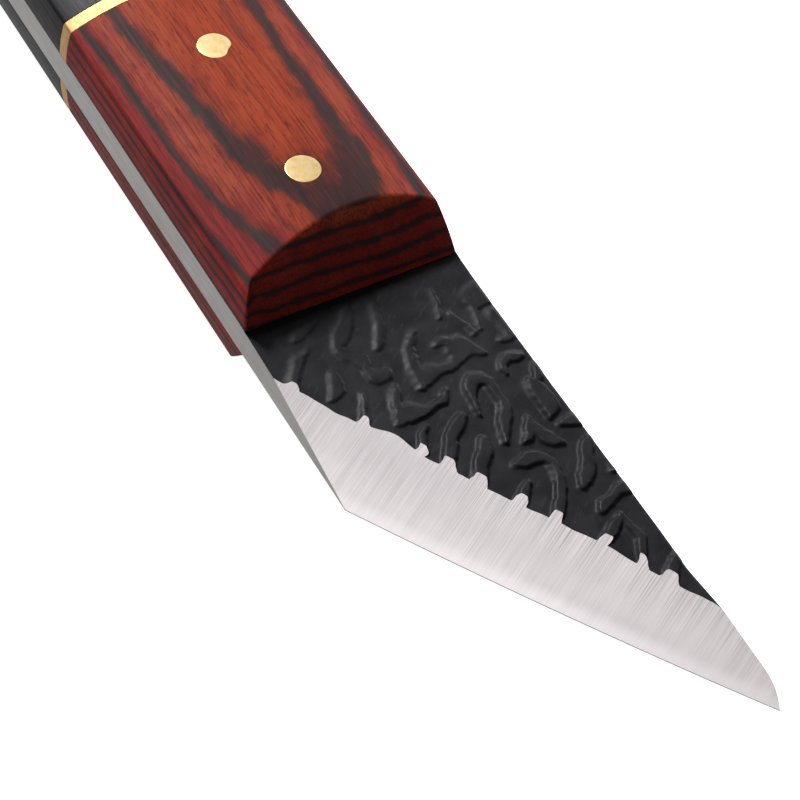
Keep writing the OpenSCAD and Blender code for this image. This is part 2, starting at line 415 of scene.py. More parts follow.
# Ridges of the forged face: each is a row of points along its middle, as x, y and width.
RIDGES = [
    [(5.9, 13.4, 3.0), (6, 12.1, 3.4), (6.9, 11.1, 1.3), (8.5, 10.7, 0.8), (10.2, 10, 0.5)],
    [(8.7, 12.6, 1.3), (10.5, 12.9, 1.5), (12.3, 12.7, 1.4), (12.3, 11.6, 0.9)],
    [(7, 8.3, 0.5), (8.5, 8.8, 0.7), (10.3, 9.3, 0.6)],
    [(3.5, 8, 0.4), (5.5, 7.4, 0.6), (7, 7, 0.5)],
    [(12.9, 8.5, 0.9), (12, 7.6, 2.0), (11.4, 6.6, 3.2), (12.2, 5.9, 2.2), (13, 5, 1.3),
     (13.1, 4, 1.4), (13, 3, 1.6), (12.9, 2, 2.3), (13.4, 1, 2.0), (14.4, 0.3, 0.8)],
    [(10.8, 6.4, 1.8), (10.1, 5.6, 1.5), (10, 4.9, 1.1)],
    [(7.4, 3.2, 0.7), (8.2, 2.5, 1.0), (9.4, 1.6, 1.2), (10.8, 1.1, 1.3), (12.5, 0.7, 1.5),
     (14.3, 0.2, 0.9)],
    [(2.5, 1.0, 0.6), (4, 0.7, 1.0), (5.6, 0.1, 1.3), (7, -0.7, 1.1), (7.8, -1.4, 0.5)],
    [(1.2, -1.7, 0.9), (2.6, -2.3, 1.4), (3.9, -3.4, 2.0), (4.8, -4.4, 1.8), (5.9, -5.2, 1.3),
     (7.2, -4.8, 1.4), (8.3, -3.8, 1.9), (9.6, -3.8, 1.2), (10.9, -3.4, 1.6), (11.2, -2.4, 1.3),
     (10.9, -1.7, 0.5)],
    [(1.6, -5.6, 0.8), (2.2, -7, 1.3), (2.8, -8.4, 1.2), (3, -9, 0.7)],
    [(5, -8.6, 0.6), (5.4, -9.5, 1.1), (6.1, -10.4, 1.6), (7.2, -11.2, 1.4), (8.4, -12, 1.0)],
    [(8.8, -7.3, 1.2), (9.8, -7.6, 1.6), (10.9, -8.2, 1.6), (11.5, -9, 1.0)],
    [(12.2, -5.9, 0.5), (13, -6.1, 0.7), (14, -6.6, 0.9), (15.2, -7.3, 0.9), (16, -7.8, 0.8)],
    [(14.9, 12.3, 0.6), (14.9, 11.4, 1.1), (14.9, 10.4, 1.3), (15.6, 9.7, 1.2), (16.6, 9.5, 0.6)],
    [(17.2, 13.4, 1.4), (18, 12.6, 1.2), (18.6, 12, 0.8)],
    [(18.6, 11.2, 1.2), (20, 11.4, 2.0), (21.6, 11.4, 2.3), (22.8, 11, 1.4), (23.1, 10.8, 0.9)],
    [(24.8, 13.4, 1.7), (24.8, 12.2, 1.5), (24.7, 11.5, 0.9)],
    [(27.4, 12.9, 0.8), (28, 12.2, 1.4), (29.4, 11.4, 1.6), (30.6, 10.6, 1.7), (31.6, 9.7, 1.5),
     (32.3, 8.8, 0.9)],
    [(34.4, 13.4, 1.7), (34.4, 12, 1.4), (34.8, 10.8, 1.2), (35.2, 9.8, 1.2), (35.7, 9, 0.8)],
    [(31, 13.4, 0.9), (32, 13, 0.8)],
    [(37, 10.4, 0.8), (38.5, 10.6, 0.9), (40, 10.8, 1.2), (41.3, 10.3, 1.2), (42.4, 9.6, 1.0),
     (43.2, 9.1, 0.9)],
    [(37.3, 10.3, 0.8), (37.8, 9.4, 1.2), (38.3, 8.4, 1.3), (38.8, 7.3, 1.2)],
    [(43.6, 13.2, 1.0), (44.2, 12.3, 1.3), (45, 11.4, 1.6), (46.2, 10.4, 1.4)],
    [(22.4, 8.4, 0.5), (23.6, 8.4, 1.1), (25, 9, 1.0), (26.9, 9.9, 0.5)],
    [(22.8, 8.1, 0.6), (23.8, 7.7, 1.4), (24.7, 7, 1.0), (25, 6.5, 0.5)],
    [(24.2, 8.2, 1.4), (25.4, 8.6, 1.4), (26.4, 9.4, 1.0)],
    [(16.6, 7, 1.4), (18, 7.1, 1.3), (19.5, 7, 1.4), (20.8, 6.6, 1.6), (22, 5.8, 1.5),
     (23.2, 5, 1.2), (24.1, 4.5, 0.6)],
    [(16.6, 7, 1.4), (15.9, 6.4, 1.7), (15.9, 5.5, 1.7), (16.5, 4.9, 1.6), (17.6, 4.5, 1.2),
     (18.8, 4.1, 0.9), (19.8, 3.9, 0.5)],
    [(15.7, 2.4, 0.6), (16.6, 1.5, 1.0), (16.9, 0.4, 1.0), (17, -0.6, 1.2), (16.8, -1.8, 2.0),
     (16.6, -2.8, 2.4), (16.8, -3.7, 1.6), (17.4, -4.4, 0.7)],
    [(12.9, -2.2, 0.6), (13.6, -2.6, 1.2), (14.6, -3.2, 1.2), (15.8, -3.5, 1.2)],
    [(19.4, 2.1, 1.2), (20, 1.1, 1.4), (20.9, 0, 1.5), (22, -0.9, 1.5), (23.2, -1.7, 1.4),
     (24.4, -2.4, 1.3)],
    [(22.9, 2.6, 1.2), (24, 2, 1.7), (25, 1.1, 1.7), (26.1, 0.2, 1.6), (27.2, -0.6, 1.4)],
    [(18.9, -2.1, 0.6), (19.6, -2.8, 1.0), (20.5, -3.4, 1.0), (21.4, -4, 1.0)],
    [(28.3, 7.6, 1.1), (27.4, 7, 1.4), (27, 6, 1.5), (27, 5, 1.3), (27.1, 4.2, 0.9)],
    [(28.3, 7.6, 1.1), (29.6, 7.4, 1.1), (31, 7, 1.3), (32.3, 6.2, 1.4), (33.4, 5.3, 1.3),
     (34.5, 4.3, 1.2)],
    [(29.7, 3.9, 0.9), (30.2, 3.2, 1.3), (31, 2.2, 1.4)],
]


def curve_through(points, per_piece=8):
    """Catmull-Rom points along a polyline."""
    p = np.array(points, float)
    p = np.vstack([2 * p[0] - p[1], p, 2 * p[-1] - p[-2]])
    out = []
    for i in range(1, len(p) - 2):
        for t in np.linspace(0, 1, per_piece + 1)[:-1]:
            a, b, c, d = p[i - 1 : i + 3]
            out.append(
                0.5 * (2 * b + (c - a) * t + (2 * a - 5 * b + 4 * c - d) * t**2
                       + (3 * b - a - 3 * c + d) * t**3)
            )
    out.append(p[-2])
    return np.array(out)


# Width of a ridge's slopes: the gentle ones towards the handle, the steep ones towards the tip.
SOFT_NEAR, SOFT_FAR, STEEP = 1.0, 0.62, 0.3
STEEP_WAY = (0.88, 0.47)


def ridge_field(x, y):
    """From 0 on the ground of the forged face to 1 on top of a ridge."""
    # the outlines of the ridges waver a little
    wx = x + 0.13 * wobble(x, y, 1.6, 3) + 0.05 * wobble(x, y, 0.6, 4)
    wy = y + 0.13 * wobble(x, y, 1.6, 5) + 0.05 * wobble(x, y, 0.6, 6)
    field = np.zeros_like(x)
    for points in RIDGES:
        line = curve_through(points)
        reach = line[:, 2].max() / 2 + SOFT_NEAR
        lo, hi = line.min(0) - reach, line.max(0) + reach
        near = (wx > lo[0]) & (wx < hi[0]) & (wy > lo[1]) & (wy < hi[1])
        px, py = wx[near], wy[near]
        best = np.full(px.shape, 99.0)
        width = np.zeros(px.shape)
        steep = np.zeros(px.shape)
        back = np.zeros(px.shape)
        for a, b in zip(line, line[1:]):
            d = b - a
            long = max(d[0] ** 2 + d[1] ** 2, 1e-9)
            t = np.clip(((px - a[0]) * d[0] + (py - a[1]) * d[1]) / long, 0, 1)
            off_x, off_y = px - a[0] - t * d[0], py - a[1] - t * d[1]
            w = a[2] + d[2] * t
            dist = np.hypot(off_x, off_y)
            closer = dist - w / 2 < best
            way = (off_x * STEEP_WAY[0] + off_y * STEEP_WAY[1]) / np.maximum(dist, 0.05)
            steep = np.where(closer, way, steep)
            back = np.where(closer, -off_x / np.maximum(dist, 0.05), back)
            width = np.where(closer, w, width)
            best = np.where(closer, dist - w / 2, best)
        # farther from the handle, the slopes that face it are narrower
        crisp = smooth((px - 12) / 8) * smooth((back - 0.25) / 0.4)
        gentle = SOFT_NEAR + (SOFT_FAR - SOFT_NEAR) * crisp
        soft = gentle + (STEEP - gentle) * smooth(steep + 0.5)
        rise = smooth((soft / 2 - best) / soft)
        dome = 1 - 0.12 * np.clip((best + width / 2) / np.maximum(width / 2, 0.2), 0, 1) ** 2
        field[near] = np.maximum(field[near], rise * dome)
    return field


RIM_W = 0.45
SWELL_X, SWELL_Y = 18, -5.4


def forged_height(x, y):
    """Height of the forged face."""
    full = HALF_T - TAPER * np.maximum(x, 0)
    # the hollows between the ridges are shallow at the handle and deepest near the tip
    away = smooth((x - 0.3) / 7.0)
    depth = (0.12 + 0.3 * away) * smooth((x + 0.5) / 0.6)
    depth = depth + 0.28 * smooth((x - 38) / 10)
    base = full - depth
    base = base + 0.035 * wobble(x, y, 4.0, 11) * away
    base = base + 0.012 * wobble(x, y, 1.3, 12) * away
    # a low swell next to the bevel
    base = base + 0.28 * np.exp(-(((x - SWELL_X) / 3.0) ** 2) - ((y - SWELL_Y) / 1.8) ** 2)
    ridge_height = 0.14 + 0.1 * smooth((x - 2) / 6.0) + 0.19 * smooth((x - 11) / 7.0)
    ridge_height = ridge_height * smooth((x + 0.2) / 0.8)
    # the spine's corner is worn round
    rim = np.clip((y - spine_y(x) + RIM_W) / RIM_W, 0, 1)
    z = base + ridge_height * (1 - 0.75 * rim) * ridge_field(x, y)
    z = z - 0.1 * rim**2 * smooth((x - 0.2) / 1.0)
    return np.minimum(z, full)


def ground_height(x, y):
    """Height of the ground bevel, a wide cone whose rim is the cutting edge."""
    rho = np.hypot(x - EDGE_X, y - EDGE_Y)
    return -HALF_T + LAND + (EDGE_R - rho) * math.tan(BEVEL)


# Under the scales the detailed face gives way to the plain tang.
JOINT_X = -1.0
# Material numbers of the blade's faces.
GROUND, FORGED, SIDES, UNDER = range(4)


def blade_grid():
    """The blade's upper face as a grid of x, y, forged height and ground height."""
    # steps are fine where there is relief and coarse on the plain ground part
    fine, coarse = 0.135, 0.45
    forged_end = 50.5
    parts = [
        np.linspace(JOINT_X, HEEL_X, round((HEEL_X - JOINT_X) / fine) + 1),
        np.linspace(HEEL_X, forged_end, round((forged_end - HEEL_X) / fine) + 1)[1:],
        np.linspace(forged_end, flare_b[0], round((flare_b[0] - forged_end) / coarse) + 1)[1:],
        np.linspace(flare_b[0], TIP_X, 16)[1:],
    ]
    xs = np.concatenate(parts)
    rows = 192
    v = np.linspace(0, 1, rows)
    lo, hi = edge_y(xs), spine_y(xs)
    hi[-1] = lo[-1] = tip_y
    x = np.repeat(xs[:, None], rows, 1)
    y = lo[:, None] + (hi - lo)[:, None] * v[None, :]
    return x, y, forged_height(x, y), ground_height(x, y)


def blade_mesh():
    """Vertices, faces and material numbers of the upper face in front of the joint."""
    x, y, forged, ground = blade_grid()
    nx, ny = x.shape
    gap = (forged - ground).ravel()
    gap[np.abs(gap) < 1e-4] = 1e-4
    z = np.minimum(forged, ground)
    verts = np.stack([x.ravel(), y.ravel(), z.ravel()], 1).tolist()
    faces, kinds = [], []
    cuts = {}

    def cut(a, b):
        """The vertex where the ground face starts on the line from a to b."""
        key = (min(a, b), max(a, b))
        if key not in cuts:
            t = gap[key[0]] / (gap[key[0]] - gap[key[1]])
            p, q = np.array(verts[key[0]]), np.array(verts[key[1]])
            m = p + (q - p) * t
            m[2] = float(ground_height(m[0], m[1]))
            cuts[key] = len(verts)
            verts.append(m.tolist())
        return cuts[key]

    index = np.arange(nx * ny).reshape(nx, ny)
    for i in range(nx - 1):
        for j in range(ny - 1):
            quad = [int(index[i, j]), int(index[i + 1, j]),
                    int(index[i + 1, j + 1]), int(index[i, j + 1])]
            signs = [gap[k] > 0 for k in quad]
            if all(signs) or not any(signs):
                faces.append(quad)
                kinds.append(GROUND if signs[0] else FORGED)
                continue
            for tri in (quad[:3], [quad[0], quad[2], quad[3]]):
                split_triangle(tri, gap, cut, faces, kinds)
    return verts, faces, kinds


def split_triangle(tri, gap, cut, faces, kinds):
    """Adds a triangle, divided where the ground face meets the forged one."""
    above = [gap[k] > 0 for k in tri]
    if all(above) or not any(above):
        faces.append(list(tri))
        kinds.append(GROUND if above[0] else FORGED)
        return
    lone = above.index(True) if sum(above) == 1 else above.index(False)
    a, b, c = tri[lone], tri[(lone + 1) % 3], tri[(lone + 2) % 3]
    ab, ac = cut(a, b), cut(a, c)
    faces += [[a, ab, ac], [ab, b, c, ac]]
    kinds += [GROUND, FORGED] if above[lone] else [FORGED, GROUND]


def circle_edges(bm, x, y, r, z, n=64):
    """The edges of a ring of new vertices."""
    ring = []
    for i in range(n):
        a = 2 * math.pi * i / n
        ring.append(bm.verts.new((x + r * math.cos(a), y + r * math.sin(a), z)))
    return [bm.edges.new((ring[i], ring[(i + 1) % n])) for i in range(n)]


def tang_outline():
    """Plan of the tang from the joint round the butt and back."""
    cx, cy = BUTT_X + BUTT_CORNER_R, HALF_W - BUTT_CORNER_R

    def corner(y, start, end):
        """A butt corner round (cx, y), between two angles in degrees."""
        turns = [math.radians(a) for a in np.linspace(start, end, 17)]
        return [(cx + BUTT_CORNER_R * math.cos(t), y + BUTT_CORNER_R * math.sin(t)) for t in turns]

    points = [(x, -HALF_W) for x in np.linspace(JOINT_X, cx, 40)[1:-1]]
    points += corner(-cy, 270, 180)
    points += [(BUTT_X, y) for y in np.linspace(-cy, cy, 12)[1:-1]]
    points += corner(cy, 180, 90)
    points += [(x, HALF_W) for x in np.linspace(cx, JOINT_X, 40)[1:-1]]
    return points


def paint(geometry, number):
    """Gives the faces among some new geometry a material number."""
    for item in geometry:
        if isinstance(item, bmesh.types.BMFace):
            item.material_index = number


def build_blade(holes, materials):
    """The whole bar as one closed mesh: detailed blade, plain drilled tang."""
    verts, faces, kinds = blade_mesh()
    bm = bmesh.new()
    made = [bm.verts.new(v) for v in verts]
    for face, kind in zip(faces, kinds):
        corners = [made[i] for i in dict.fromkeys(face)]
        if len({tuple(round(c, 6) for c in v.co) for v in corners}) > 2:
            bm.faces.new(corners).material_index = kind
    bmesh.ops.remove_doubles(bm, verts=bm.verts, dist=1e-4)
    joint = [v for v in bm.verts if abs(v.co.x - JOINT_X) < 1e-5]
    joint.sort(key=lambda v: v.co.y)
    # the tang's upper face
    outline = [bm.verts.new((px, py, HALF_T)) for px, py in tang_outline()]
    path = [joint[0]] + outline + [joint[-1]]
    edges = [bm.edges.new((a, b)) for a, b in zip(path, path[1:])]
    edges += [e for e in bm.edges if all(abs(v.co.x - JOINT_X) < 1e-5 for v in e.verts)]
    for hx, hy, hr in holes:
        edges += circle_edges(bm, hx, hy, hr, HALF_T)
    paint(bmesh.ops.triangle_fill(bm, use_beauty=True, edges=edges)["geom"], SIDES)
    # the walls: every open edge goes down to the flat back
    rim = [e for e in bm.edges if len(e.link_faces) == 1]
    spread = bmesh.ops.extrude_edge_only(bm, edges=rim)["geom"]
    paint(spread, SIDES)
    for v in spread:
        if isinstance(v, bmesh.types.BMVert):
            v.co.z = -HALF_T
    low = [e for e in spread if isinstance(e, bmesh.types.BMEdge)
           and all(abs(v.co.z + HALF_T) < 1e-6 for v in e.verts) and len(e.link_faces) == 1]
    paint(bmesh.ops.triangle_fill(bm, use_beauty=True, edges=low)["geom"], UNDER)
    bmesh.ops.recalc_face_normals(bm, faces=bm.faces)
    mesh = bpy.data.meshes.new("blade_steel")
    for v in bm.verts:
        v.co = placed(v.co)
    bm.to_mesh(mesh)
    bm.free()
    for material in materials:
        mesh.materials.append(material)
    finish_shading(mesh, 50.0)
    obj = bpy.data.objects.new("blade_steel", mesh)
    scene.collection.objects.link(obj)
    # the line where the ground face starts stays crisp
    crisp = mesh.attributes["sharp_edge"].data if "sharp_edge" in mesh.attributes else None
    if crisp is not None:
        kinds_of = {}
        for p in mesh.polygons:
            for key in p.edge_keys:
                kinds_of.setdefault(key, set()).add(p.material_index)
        for e in mesh.edges:
            if len(kinds_of.get(tuple(sorted(e.vertices)), ())) > 1:
                crisp[e.index].value = True
    return obj


# ---------------------------------------------------------------- materials


class Nodes:
    """A material and short calls that add nodes to it."""

    def __init__(self, name):
        self.material = bpy.data.materials.new(name)
        self.material.use_nodes = True
        self.tree = self.material.node_tree
        self.tree.nodes.clear()
        out = self.tree.nodes.new("ShaderNodeOutputMaterial")
        self.bsdf = self.tree.nodes.new("ShaderNodeBsdfPrincipled")
        self.link(self.bsdf.outputs[0], out.inputs["Surface"])

    def link(self, a, b):
        self.tree.links.new(a, b)

    def put(self, socket, value):
        """Links an output, or sets a plain value."""
        if isinstance(value, bpy.types.NodeSocket):
            self.link(value, socket)
        else:
            socket.default_value = value

    def add(self, kind, **settings):
        node = self.tree.nodes.new(kind)
        for key, value in settings.items():
            setattr(node, key, value)
        return node

    def surface(self, **values):
        """Sets or links the shader's inputs, whose names are written with underscores."""
        for key, value in values.items():
            self.put(self.bsdf.inputs[key.replace("_", " ")], value)

    def place(self, scale=(1, 1, 1), turn=(0, 0, 0)):
        """Knife millimetres, turned and then stretched."""
        coord = self.add("ShaderNodeTexCoord")
        at = self.add("ShaderNodeMapping")
        self.link(coord.outputs["Object"], at.inputs["Vector"])
        at.inputs["Scale"].default_value = (1 / MM,) * 3
        at.inputs["Location"].default_value = tuple(-c for c in ORIGIN)
        if any(turn):
            spun = self.add("ShaderNodeMapping")
            self.link(at.outputs[0], spun.inputs["Vector"])
            spun.inputs["Rotation"].default_value = turn
            at = spun
        if tuple(scale) != (1, 1, 1):
            wide = self.add("ShaderNodeMapping")
            self.link(at.outputs[0], wide.inputs["Vector"])
            wide.inputs["Scale"].default_value = scale
            at = wide
        return at.outputs[0]

    def noise(self, vector, scale, detail=2.0, rough=0.5, warp=0.0):
        node = self.add("ShaderNodeTexNoise")
        self.link(vector, node.inputs["Vector"])
        node.inputs["Scale"].default_value = scale
        node.inputs["Detail"].default_value = detail
        node.inputs["Roughness"].default_value = rough
        node.inputs["Distortion"].default_value = warp
        return node.outputs["Fac"]

    def math(self, operation, a, b=0.0, c=0.0):
        node = self.add("ShaderNodeMath", operation=operation)
        for socket, value in zip(node.inputs, (a, b, c)):
            self.put(socket, value)
        return node.outputs[0]

    def fit(self, value, a, b, c=0.0, d=1.0):
        """Maps a to b onto c to d, smoothly, and clamps the result."""
        node = self.add("ShaderNodeMapRange", interpolation_type="SMOOTHSTEP")
        for key, v in (("Value", value), ("From Min", a), ("From Max", b), ("To Min", c), ("To Max", d)):
            self.put(node.inputs[key], v)
        return node.outputs[0]

    def mix(self, share, a, b, blend="MIX"):
        node = self.add("ShaderNodeMix", data_type="RGBA", blend_type=blend)
        self.put(node.inputs[0], share)
        self.put(node.inputs[6], a if isinstance(a, bpy.types.NodeSocket) else (*a, 1))
        self.put(node.inputs[7], b if isinstance(b, bpy.types.NodeSocket) else (*b, 1))
        return node.outputs[2]

    def bump(self, height, strength, distance, under=None):
        node = self.add("ShaderNodeBump")
        node.inputs["Strength"].default_value = strength
        node.inputs["Distance"].default_value = distance * MM
        self.link(height, node.inputs["Height"])
        if under is not None:
            self.link(under, node.inputs["Normal"])
        return node.outputs[0]

    def axes(self):
        """X, Y and Z in knife millimetres."""
        parts = self.add("ShaderNodeSeparateXYZ")
        self.link(self.place(), parts.inputs[0])
        return parts.outputs

    def attribute(self, name):
        return self.add("ShaderNodeAttribute", attribute_name=name).outputs["Fac"]


def srgb(r, g, b):
    """A colour read in 0 to 255, as linear values."""
    out = []
    for c in (r, g, b):
        c = c / 255
        out.append(c / 12.92 if c <= 0.04045 else ((c + 0.055) / 1.055) ** 2.4)
    return tuple(out)


def wood(name, warm, deep, dark, pore, gloss):
    """Laminated dyed wood: veneers with dark glue lines, long grain and short pores."""
    m = Nodes(name)
    lamina = m.attribute("lamina")
    slow = m.noise(m.place((0.05, 0.5, 0.5)), 1.0, 3.0)
    quick = m.noise(m.place((0.25, 2.2, 2.2)), 1.0, 3.0)
    fine = m.noise(m.place((0.1, 4.0, 4.0)), 1.0, 5.0, 0.65)
    short = m.noise(m.place((0.5, 5.0, 5.0)), 1.0, 2.0, 0.6)
    clouds = m.noise(m.place((0.25, 0.35, 0.35)), 1.0, 3.0)
    shift = m.math("MULTIPLY", m.math("SUBTRACT", slow, 0.5), 0.22)
    shift = m.math("ADD", shift, m.math("MULTIPLY", m.math("SUBTRACT", quick, 0.5), 0.16))
    layer = m.math("ADD", lamina, shift)
    # a dark band at each whole layer number, frayed along the grain and with a soft halo
    off = m.math("PINGPONG", layer, 0.5)
    width = m.fit(clouds, 0.3, 0.7, 0.08, 0.17)
    frayed = m.math("ADD", off, m.math("MULTIPLY", m.math("SUBTRACT", fine, 0.5), 0.34))
    band = m.fit(m.math("SUBTRACT", frayed, width), -0.05, 0.07, 1.0, 0.0)
    halo = m.fit(m.math("SUBTRACT", off, width), -0.02, 0.24, 0.45, 0.0)
    # here and there a thin second line between two bands
    half = m.math("SUBTRACT", 0.5, off)
    second = m.math("MULTIPLY", m.fit(half, 0.0, 0.09, 1.0, 0.0), m.fit(slow, 0.5, 0.62, 0.0, 0.5))
    lines = m.math("MAXIMUM", m.math("MULTIPLY", band, m.fit(quick, 0.2, 0.6, 0.75, 1.0)), second)
    # deeper red towards the tang, lighter at the crown, with clouds and pores
    depth = m.fit(layer, 4.6, 6.2, 0.85, 0.12)
    tone = m.math("ADD", depth, m.math("MULTIPLY", m.math("SUBTRACT", clouds, 0.5), 1.1))
    colour = m.mix(m.fit(tone, 0.0, 1.0), warm, deep)
    colour = m.mix(m.fit(fine, 0.44, 0.68, 0.0, 0.6), colour, pore)
    colour = m.mix(m.fit(short, 0.55, 0.68, 0.0, 0.7), colour, pore)
    colour = m.mix(halo, colour, pore)
    colour = m.mix(m.math("MULTIPLY", lines, 0.9), colour, dark)
    soaked = m.mix(1.0, colour, (0.93, 1.15, 1.02), "MULTIPLY")
    colour = m.mix(m.attribute("end_grain"), colour, soaked)
    rough = m.fit(fine, 0.3, 0.7, gloss - 0.05, gloss + 0.08)
    bump = m.bump(m.math("ADD", fine, short), 0.35, 0.03)
    m.surface(Base_Color=colour, Roughness=rough, Normal=bump, Specular_IOR_Level=0.1)
    return m.material


# Direction of the grind lines, from the knife's length.
GRIND = math.radians(115)


def ground_steel():
    """The bevel: bright steel with long fine grind lines across the edge, and painted highlight, shade
    and reflection.
    """
    m = Nodes("ground_steel")
    lines = m.noise(m.place((0.07, 11.0, 0.0), (0, 0, -GRIND)), 1.0, 3.0, 0.7)
    broad = m.noise(m.place((0.01, 0.6, 0.0), (0, 0, -GRIND)), 1.0, 2.0, 0.5)
    clouds = m.noise(m.place((0.03, 0.22, 0.0), (0, 0, -SKEW)), 1.0, 1.0)
    z = m.axes()["Z"]
    # painted highlight: the bevel is painted brighter along the cutting edge
    painted_edge_highlight = m.fit(z, -HALF_T + LAND + 0.1, -HALF_T + LAND + 0.75, 0.6, 0.0)
    tint = m.mix(m.fit(broad, 0.3, 0.7), srgb(216, 209, 210), srgb(226, 219, 220))
    # painted reflection: darker clouds running along the edge
    tint = m.mix(m.fit(clouds, 0.4, 0.7, 0.0, 0.35), tint, srgb(200, 192, 195))
    # the bevel is painted darker towards the forge scale, a painted shade; the lines are deepest next to
    # the forge scale and fade towards the edge
    depth = m.fit(z, -HALF_T + LAND + 0.4, HALF_T - 0.5, 0.35, 1.0)
    tint = m.mix(m.math("MULTIPLY", depth, 0.3), tint, srgb(196, 190, 193))
    scored = m.math("MULTIPLY", depth, m.fit(lines, 0.44, 0.66, 0.0, 0.9))
    tint = m.mix(scored, tint, srgb(158, 153, 155))
    # the painted highlight along the cutting edge
    tint = m.mix(painted_edge_highlight, tint, srgb(240, 234, 236))
    m.surface(Base_Color=tint, Metallic=1.0, Roughness=m.fit(lines, 0.3, 0.7, 0.28, 0.35))
    m.surface(Normal=m.bump(lines, 0.06, 0.01))
    return m.material


def forged_steel():
    """Black forge scale: satin, faintly mottled, with fine pits, and a painted shadow in front of the
    handle.
    """
    m = Nodes("forged_steel")
    blotch = m.noise(m.place(), 0.5, 4.0, 0.6)
    grit = m.noise(m.place(), 6.0, 3.0, 0.7)
    scuff = m.noise(m.place((0.5, 2.6, 1.0), (0, 0, 0.9)), 1.0, 4.0, 0.65)
    tint = m.mix(m.fit(blotch, 0.3, 0.75), srgb(36, 36, 39), srgb(43, 43, 46))
    tint = m.mix(m.fit(scuff, 0.54, 0.76, 0.0, 0.7), tint, srgb(60, 59, 63))
    # painted shadow: the forged face is painted near black, and made matter, in the corner in front of
    # the handle, where the handle's shadow falls
    reach = m.math("ADD", m.axes()["X"], m.math("MULTIPLY", blotch, 0.8))
    corner = m.fit(reach, 0.9, 2.3, 1.0, 0.0)
    tint = m.mix(corner, tint, srgb(9, 9, 10))
    satin = m.fit(blotch, 0.3, 0.7, 0.4, 0.52)
    matt = m.math("MAXIMUM", satin, m.math("MULTIPLY", corner, 0.9))
    m.surface(Base_Color=tint, Metallic=0.0, Specular_IOR_Level=0.15, Roughness=matt)
    m.surface(Normal=m.bump(grit, 0.35, 0.014, m.bump(scuff, 0.3, 0.02)))
    return m.material


def side_steel():
    """The bar's sides: grey steel, brushed lengthwise."""
    m = Nodes("side_steel")
    brush = m.noise(m.place((0.1, 6.0, 6.0)), 1.0, 3.0, 0.6)
    blotch = m.noise(m.place(), 0.35, 3.0)
    tint = m.mix(m.fit(brush, 0.35, 0.7), srgb(160, 158, 156), srgb(188, 186, 184))
    tint = m.mix(m.fit(blotch, 0.4, 0.7, 0.0, 0.25), tint, srgb(140, 138, 137))
    m.surface(Base_Color=tint, Metallic=1.0, Roughness=m.fit(brush, 0.3, 0.7, 0.34, 0.5))
    m.surface(Normal=m.bump(brush, 0.25, 0.015))
    return m.material


def brass(name, light, shade, gloss):
    """Ground brass, faintly scratched and mottled."""
    m = Nodes(name)
    scratch = m.noise(m.place((1.0, 6.0, 1.0), (0, 0, 0.5)), 1.2, 4.0, 0.65)
    blotch = m.noise(m.place(), 1.3, 4.0, 0.6)
    tint = m.mix(m.fit(blotch, 0.35, 0.7), light, shade)
    tint = m.mix(m.fit(scratch, 0.55, 0.8, 0.0, 0.35), tint, srgb(205, 160, 84))
    m.surface(Base_Color=tint, Metallic=1.0, Roughness=m.fit(scratch, 0.3, 0.7, gloss, gloss + 0.14))
    m.surface(Normal=m.bump(scratch, 0.2, 0.015))
    return m.material


# ---------------------------------------------------------------- veneer layers

# Points where a dark glue line shows on the upper front scale, by layer number.
LAYERS = {
    6: [(-43, -7.6, 8.4), (-33, -6.7, 8.6), (-23, -5.7, 8.85), (-14, -4.4, 9.05), (-9, -1.8, 9.35),
        (-7.5, 0, 9.4), (-6.6, 2, 9.35), (-6.3, 4, 9.1), (-7, 6, 8.8), (-12, 7.2, 8.5),
        (-20, 7.0, 8.5), (-30, 7.4, 8.45), (-38, 7.7, 8.35)],
    5: [(-43, -11.3, 7.1), (-28, -10.9, 7.3), (-20, -10.6, 7.4), (-14, -10, 7.6), (-10, -9.4, 7.85),
        (-7, -8.6, 8.1), (-4.5, -7.6, 8.4), (-4.6, -5, 8.25), (-4.4, -2, 8.0), (-4.2, 0, 7.75),
        (-4.1, 4, 7.25), (-4.5, 8, 7.15), (-5, 11, 7.15), (-10, 11.8, 6.95), (-40, 11.8, 6.9)],
    4: [(-43, -12.8, 6.1), (-30, -12.8, 6.2), (-20, -12.8, 6.4), (-3, -10, 6.75), (-2.9, -4, 6.3),
        (-3, 0, 6.05), (-3, 4, 5.6), (-3, 8, 5.5), (-3.3, 12, 5.45), (-30, 13, 5.3)],
    3: [(-43, -13, 4.8), (-20, -13, 4.95), (-10, -13, 5.15), (-2, -13, 5.5), (-1.8, -10, 4.85),
        (-1.8, -4, 4.75), (-1.8, 0, 4.35), (-1.8, 4, 4.0), (-1.9, 12, 4.05), (-30, 13, 3.8)],
    2: [(-30, -13.1, 3.7), (-5, -13.1, 4.1), (-0.8, -10, 3.15), (-0.8, -4, 3.15), (-0.8, 0, 3.05),
        (-0.5, 4, 2.5), (-0.5, 12, 2.5)],
    1: [(-43, -13.2, 2.3), (-20, -13.2, 2.3), (-5, -13.2, 2.4)],
}


def layer_function(layers):
    """A smooth function of place that takes each layer's number at its points."""
    sites = np.array([p for points in layers.values() for p in points], float)
    values = np.array([n for n, points in layers.items() for _ in points], float)
    # layers change slowly along the handle, so its length counts for less
    squash = np.array([0.35, 1.0, 1.0])
    q = sites * squash
    n = len(q)
    kernel = np.linalg.norm(q[:, None] - q[None], axis=2) + 0.4 * np.eye(n)
    poly = np.hstack([np.ones((n, 1)), q])
    system = np.zeros((n + 4, n + 4))
    system[:n, :n], system[:n, n:], system[n:, :n] = kernel, poly, poly.T
    weights = np.linalg.solve(system, np.concatenate([values, np.zeros(4)]))

    def value(points):
        p = np.asarray(points, float) * squash
        near = np.linalg.norm(p[:, None] - q[None], axis=2)
        return near @ weights[:n] + np.hstack([np.ones((len(p), 1)), p]) @ weights[n:]

    return value


